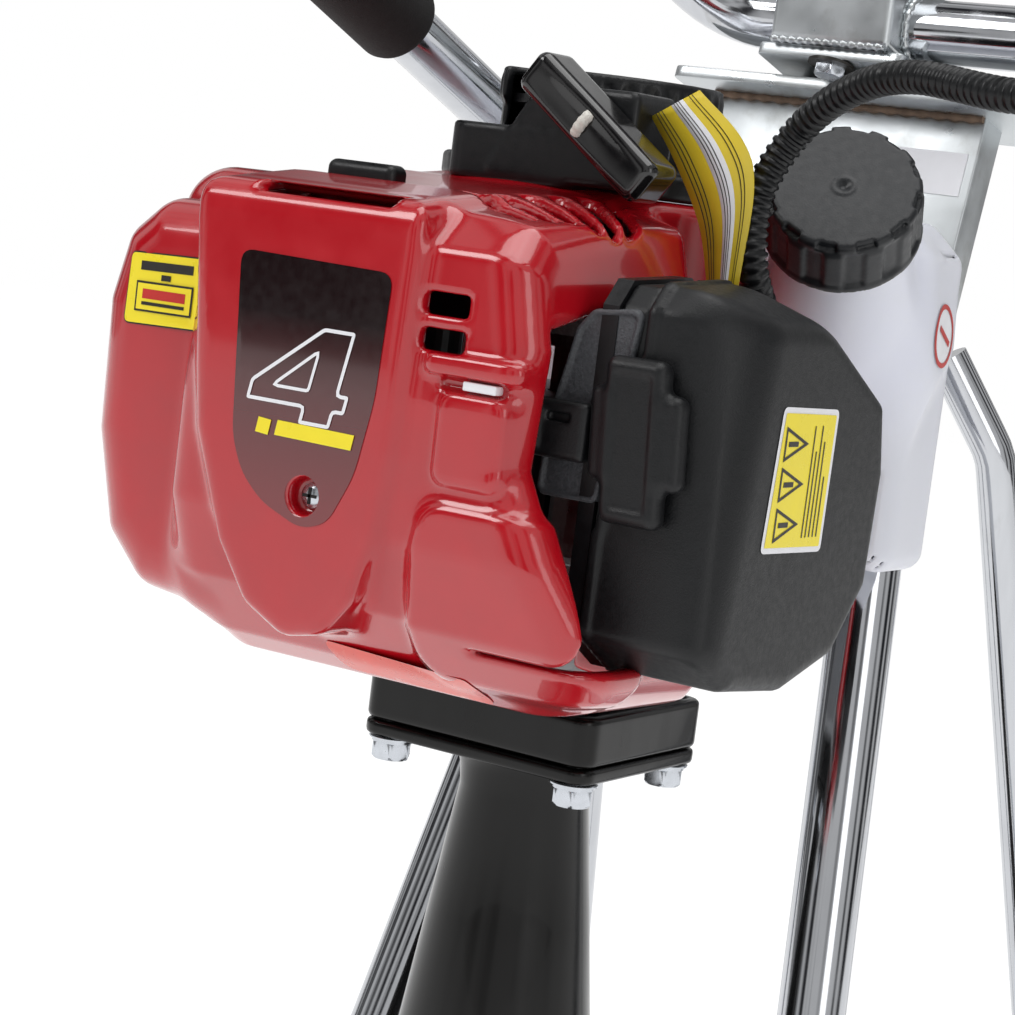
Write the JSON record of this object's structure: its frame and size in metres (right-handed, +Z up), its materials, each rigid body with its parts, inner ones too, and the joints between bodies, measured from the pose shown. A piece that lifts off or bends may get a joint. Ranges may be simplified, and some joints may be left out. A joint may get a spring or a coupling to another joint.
{
  "type": "vibrating screed power unit",
  "caption": "Engine with a recoil starter on a tapered drive column, with plated tube legs, a handle frame, a rear stand and a bolt-down base plate.",
  "frame": {"origin": "middle of the base plate's underside, on the drive axis", "axes": "+Z up along the drive shaft, -Y towards the operator's side and the engine's front, +X towards the air cleaner"},
  "size_m": [0.517, 0.5253, 0.9112],
  "materials": {
    "red_shell": "glossy moulded red",
    "black_plastic": "fine satin grain",
    "black_gloss": "polished black",
    "black_paint": "glossy black paint",
    "chrome_tube": "bright plated tube",
    "zinc_plate": "galvanised, mottled",
    "bare_steel": "machined",
    "cast_alloy": "as cast",
    "tank_white": "translucent blow-moulded white",
    "soft_foam": "soft foam",
    "buffer_rubber": "plain",
    "filter_foam": "open-cell foam",
    "rope_white": "braided cord",
    "tag_paper": "coated card",
    "switch_red": "moulded"
  },
  "bodies": {
    "frame": {"engine_shroud": "red_shell", "starter_case": "black_plastic", "air_cleaner_base": "black_plastic", "intake_spacer": "black_plastic", "ignition_coil": "black_plastic", "spark_plug": "black_plastic", "shroud_clip": "black_plastic", "throttle_housing": "black_plastic", "switch_housing": "black_plastic", "throttle_conduit": "black_plastic", "column": "black_paint", "clutch_housing": "black_paint", "leg_left": "chrome_tube", "leg_right": "chrome_tube", "handlebar_left": "chrome_tube", "handlebar_right": "chrome_tube", "assist_handle": "chrome_tube", "rear_stand": "chrome_tube", "bracket": "zinc_plate", "handle_plate": "zinc_plate", "handle_block": "zinc_plate", "handle_bolt": "zinc_plate", "flange_bolt_1": "zinc_plate", "flange_bolt_2": "zinc_plate", "flange_bolt_3": "zinc_plate", "flange_bolt_4": "zinc_plate", "shroud_screw": "zinc_plate", "base_plate": "bare_steel", "bearing_carrier": "bare_steel", "lower_bearing": "bare_steel", "upper_bearing": "bare_steel", "muffler": "bare_steel", "crankcase": "cast_alloy", "cylinder": "cast_alloy", "rocker_cover": "cast_alloy", "carburettor": "cast_alloy", "fuel_tank": "tank_white", "grip_left": "soft_foam", "grip_right": "soft_foam", "assist_grip": "soft_foam", "buffer_left": "buffer_rubber", "buffer_right": "buffer_rubber", "air_filter": "filter_foam", "hang_tag": "tag_paper"},
    "crank": {"crankshaft": "bare_steel", "flywheel": "cast_alloy", "clutch_shoes": "bare_steel"},
    "exciter": {"drive_shaft": "bare_steel", "eccentric_weight": "bare_steel", "clutch_drum": "bare_steel"},
    "piston_body": {"piston": "cast_alloy"},
    "recoil": {"recoil_handle": "black_gloss", "starter_rope": "rope_white"},
    "recoil_pulley": {"starter_pulley": "black_plastic"},
    "cap": {"fuel_cap": "black_plastic"},
    "latch": {"air_cleaner_latch": "black_plastic"},
    "cleaner_cover": {"air_cleaner_cover": "black_plastic"},
    "choke": {"choke_lever": "bare_steel"},
    "throttle": {"throttle_lever": "black_plastic"},
    "stop": {"stop_switch": "switch_red"}
  },
  "joints": [
    {"name": "crank_spin", "type": "hinge", "parent": "frame", "child": "crank", "pos_m": [0, 0, 0.432], "axis": [0, 0, 1], "continuous": true},
    {"name": "exciter_spin", "type": "hinge", "parent": "frame", "child": "exciter", "pos_m": [0, 0, 0.2], "axis": [0, 0, 1], "continuous": true},
    {"name": "piston_slide", "type": "slide", "parent": "frame", "child": "piston_body", "axis": [0, 1, 0], "range_m": [0, 0.03]},
    {"name": "recoil_pull", "type": "slide", "parent": "frame", "child": "recoil", "axis": [0, -1, 0], "range_m": [0, 0.45], "stiffness_N_per_m": 20},
    {"name": "pulley_spin", "type": "hinge", "parent": "frame", "child": "recoil_pulley", "pos_m": [0, 0, 0.571], "axis": [0, 0, -1], "range_deg": [0, 900]},
    {"name": "cap_turn", "type": "hinge", "parent": "frame", "child": "cap", "pos_m": [0.0884, 0.0115, 0.5529], "axis": [0.297, -0.7371, 0.6071], "range_deg": [0, 330]},
    {"name": "latch_swing", "type": "hinge", "parent": "frame", "child": "latch", "pos_m": [0.079, -0.1293, 0.478], "axis": [0, 0, -1], "range_deg": [0, 70]},
    {"name": "cover_slide", "type": "slide", "parent": "frame", "child": "cleaner_cover", "axis": [1, 0, 0], "range_m": [0, 0.06]},
    {"name": "choke_swing", "type": "hinge", "parent": "frame", "child": "choke", "pos_m": [0.06, -0.088, 0.444], "axis": [0, 1, 0], "range_deg": [0, 38]},
    {"name": "throttle_swing", "type": "hinge", "parent": "frame", "child": "throttle", "pos_m": [0.23504, -0.08316, 0.86367], "axis": [0, 0.249, 0.9685], "range_deg": [-30, 0], "stiffness_Nm_per_rad": 0.05},
    {"name": "stop_push", "type": "slide", "parent": "frame", "child": "stop", "axis": [0, -0.249, -0.9685], "range_m": [0, 0.002], "stiffness_N_per_m": 300}
  ],
  "couplings": [
    {"joint": "exciter_spin", "follows": "crank_spin", "ratio": 1},
    {"joint": "pulley_spin", "follows": "recoil_pull", "rad_per_m": 33.333}
  ]
}
